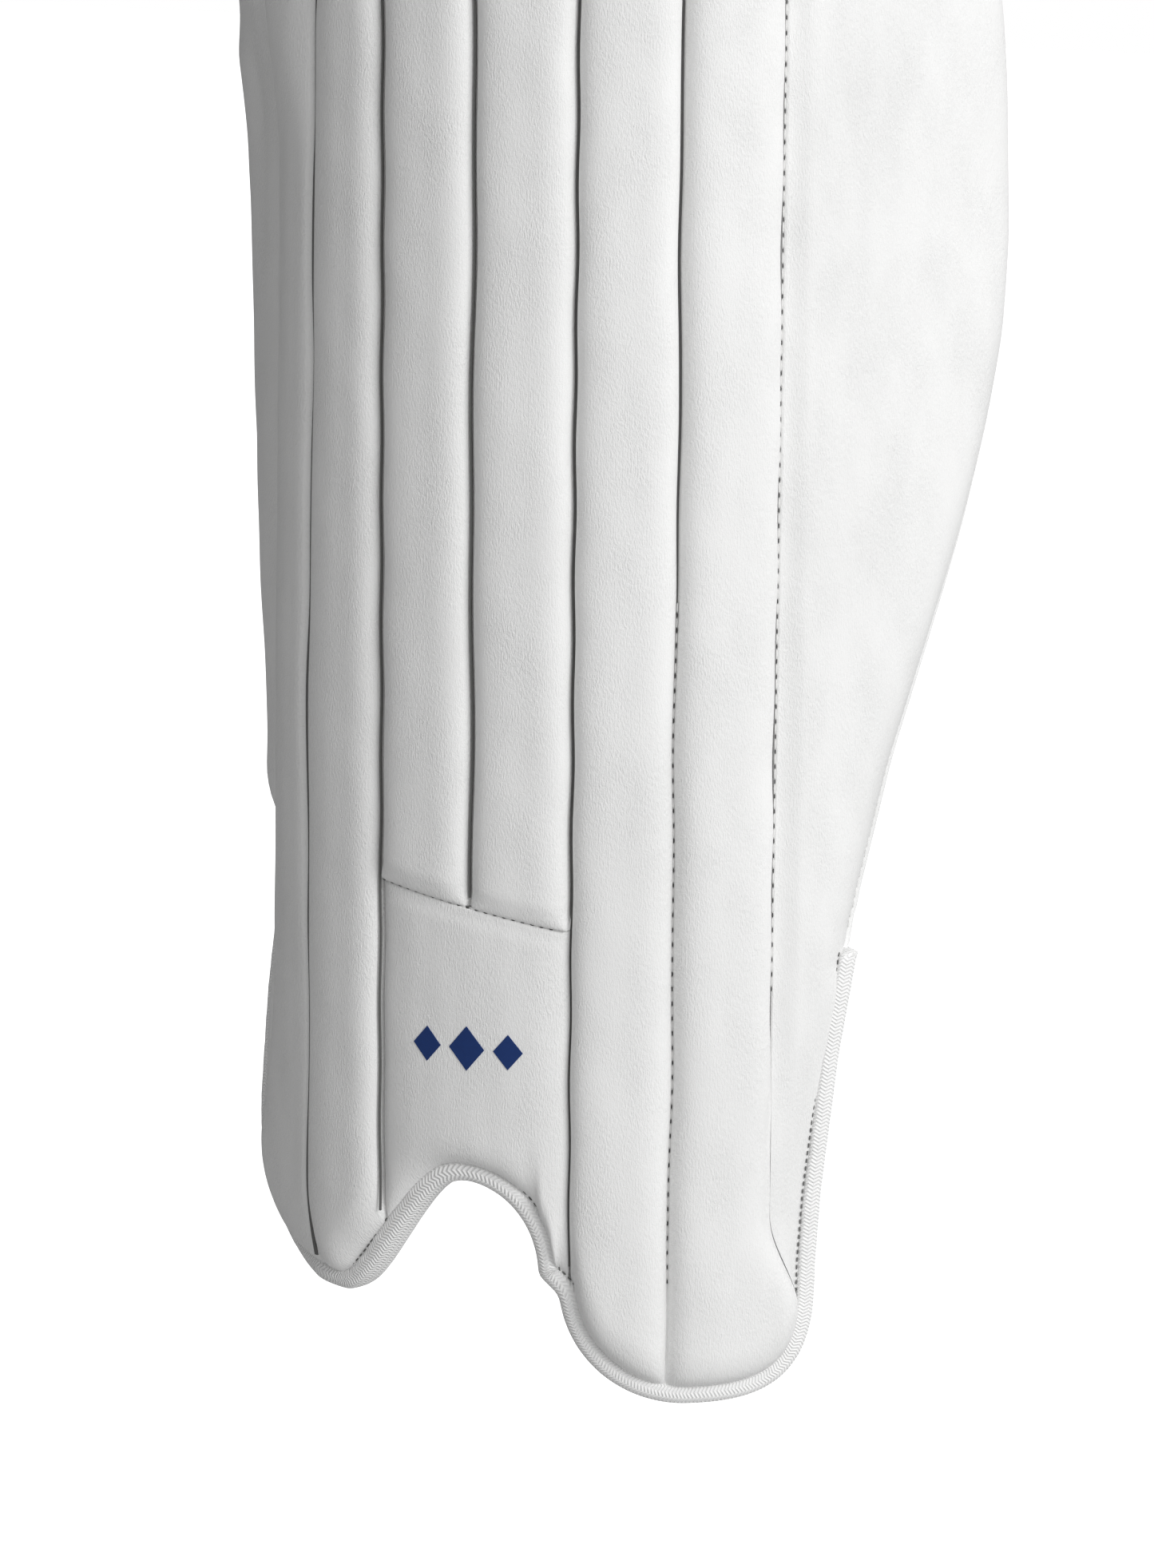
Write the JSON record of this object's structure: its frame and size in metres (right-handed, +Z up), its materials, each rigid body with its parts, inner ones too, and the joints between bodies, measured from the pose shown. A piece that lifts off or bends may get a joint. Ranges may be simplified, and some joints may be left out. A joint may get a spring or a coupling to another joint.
{
  "type": "cricket leg pad",
  "caption": "White padded cricket batting leg pad with vertical shin rolls, knee rolls, thigh panel, side wings, instep panel, bound lower edge and three straps.",
  "frame": {"origin": "on the axis of the wearer's lower leg, level with the lowest point of the pad", "axes": "+Z up the leg, the face looks along -Y, and +X is the side with the wide outer wing"},
  "size_m": [0.261, 0.2448, 0.7419],
  "materials": {
    "face_leather": "satin white coated leather with a fine grain",
    "lining_fabric": "matte white brushed cotton lining",
    "foam": "matte closed-cell foam",
    "cane": "satin split cane",
    "binding_tape": "matte ribbed woven tape",
    "strap_webbing": "matte woven strap webbing",
    "hook_tape": "matte hook tape",
    "loop_tape": "matte brushed loop tape"
  },
  "bodies": {
    "shin": {"inner_face_cover": "face_leather", "centre_face_cover": "face_leather", "outer_face_cover": "face_leather", "instep_cover": "face_leather", "instep_core": "foam", "shin_core_1": "foam", "shin_core_2": "foam", "shin_core_3": "foam", "shin_core_4": "foam", "shin_core_5": "foam", "shin_core_6": "foam", "inner_margin_pad": "face_leather", "outer_margin_pad": "face_leather", "cane_rods": "cane", "shin_padding": "foam", "shin_lining": "lining_fabric", "inner_shin_bolster": "lining_fabric", "outer_shin_bolster": "lining_fabric", "lower_binding": "binding_tape", "inner_wing_cover": "face_leather", "inner_wing_core": "foam", "inner_wing_lining": "lining_fabric", "ankle_loop_patch": "loop_tape", "calf_loop_patch": "loop_tape", "knee_loop_patch": "loop_tape", "ankle_strap_anchor": "strap_webbing", "calf_strap_anchor": "strap_webbing", "knee_strap_anchor": "strap_webbing"},
    "outer_wing": {"outer_wing_cover": "face_leather", "outer_wing_core": "foam", "outer_wing_lining": "lining_fabric"},
    "ankle_strap": {"ankle_strap": "strap_webbing", "ankle_hook_patch": "hook_tape"},
    "calf_strap": {"calf_strap": "strap_webbing", "calf_hook_patch": "hook_tape", "calf_strap_pad": "lining_fabric"},
    "knee_strap": {"knee_strap": "strap_webbing", "knee_hook_patch": "hook_tape"},
    "knee_roll_1": {"knee_roll_cover_1": "face_leather", "knee_roll_core_1": "foam", "knee_lining_1": "lining_fabric"},
    "knee_roll_2": {"knee_roll_cover_2": "face_leather", "knee_roll_core_2": "foam", "knee_lining_2": "lining_fabric", "inner_knee_pod": "lining_fabric", "outer_knee_pod": "lining_fabric"},
    "knee_roll_3": {"knee_roll_cover_3": "face_leather", "knee_roll_core_3": "foam", "knee_lining_3": "lining_fabric"},
    "thigh": {"thigh_face_cover": "face_leather", "thigh_core_1": "foam", "thigh_core_2": "foam", "thigh_core_3": "foam", "thigh_core_4": "foam", "thigh_core_5": "foam", "thigh_core_6": "foam", "thigh_padding": "foam", "thigh_lining": "lining_fabric", "thigh_binding": "binding_tape"}
  },
  "joints": [
    {"name": "outer_wing_swing", "type": "hinge", "parent": "shin", "child": "outer_wing", "pos_m": [0.08192, -0.08703, 0.15], "axis": [0.0033, -0.0341, -0.9994], "range_deg": [0, 25], "stiffness_Nm_per_rad": 0.6},
    {"name": "ankle_strap_open", "type": "hinge", "parent": "shin", "child": "ankle_strap", "pos_m": [0.0887, -0.0296, 0.197], "axis": [0, 0, -1], "range_deg": [0, 65]},
    {"name": "calf_strap_open", "type": "hinge", "parent": "shin", "child": "calf_strap", "pos_m": [0.0878, -0.0267, 0.3], "axis": [0, 0, -1], "range_deg": [0, 65]},
    {"name": "knee_strap_open", "type": "hinge", "parent": "shin", "child": "knee_strap", "pos_m": [0.0869, -0.0238, 0.405], "axis": [0, 0, -1], "range_deg": [0, 65]},
    {"name": "knee_flex", "type": "hinge", "parent": "shin", "child": "knee_roll_1", "pos_m": [0, -0.0645, 0.452], "axis": [-1, 0, 0], "range_deg": [0, 7]},
    {"name": "knee_flex_2", "type": "hinge", "parent": "knee_roll_1", "child": "knee_roll_2", "pos_m": [0, -0.0678, 0.494], "axis": [-1, 0, 0], "range_deg": [0, 7]},
    {"name": "knee_flex_3", "type": "hinge", "parent": "knee_roll_2", "child": "knee_roll_3", "pos_m": [0, -0.0706, 0.536], "axis": [-1, 0, 0], "range_deg": [0, 7]},
    {"name": "knee_flex_4", "type": "hinge", "parent": "knee_roll_3", "child": "thigh", "pos_m": [0, -0.0692, 0.578], "axis": [-1, 0, 0], "range_deg": [0, 7]}
  ],
  "couplings": [
    {"joint": "knee_flex_2", "follows": "knee_flex", "ratio": 1},
    {"joint": "knee_flex_3", "follows": "knee_flex", "ratio": 1},
    {"joint": "knee_flex_4", "follows": "knee_flex", "ratio": 1}
  ]
}
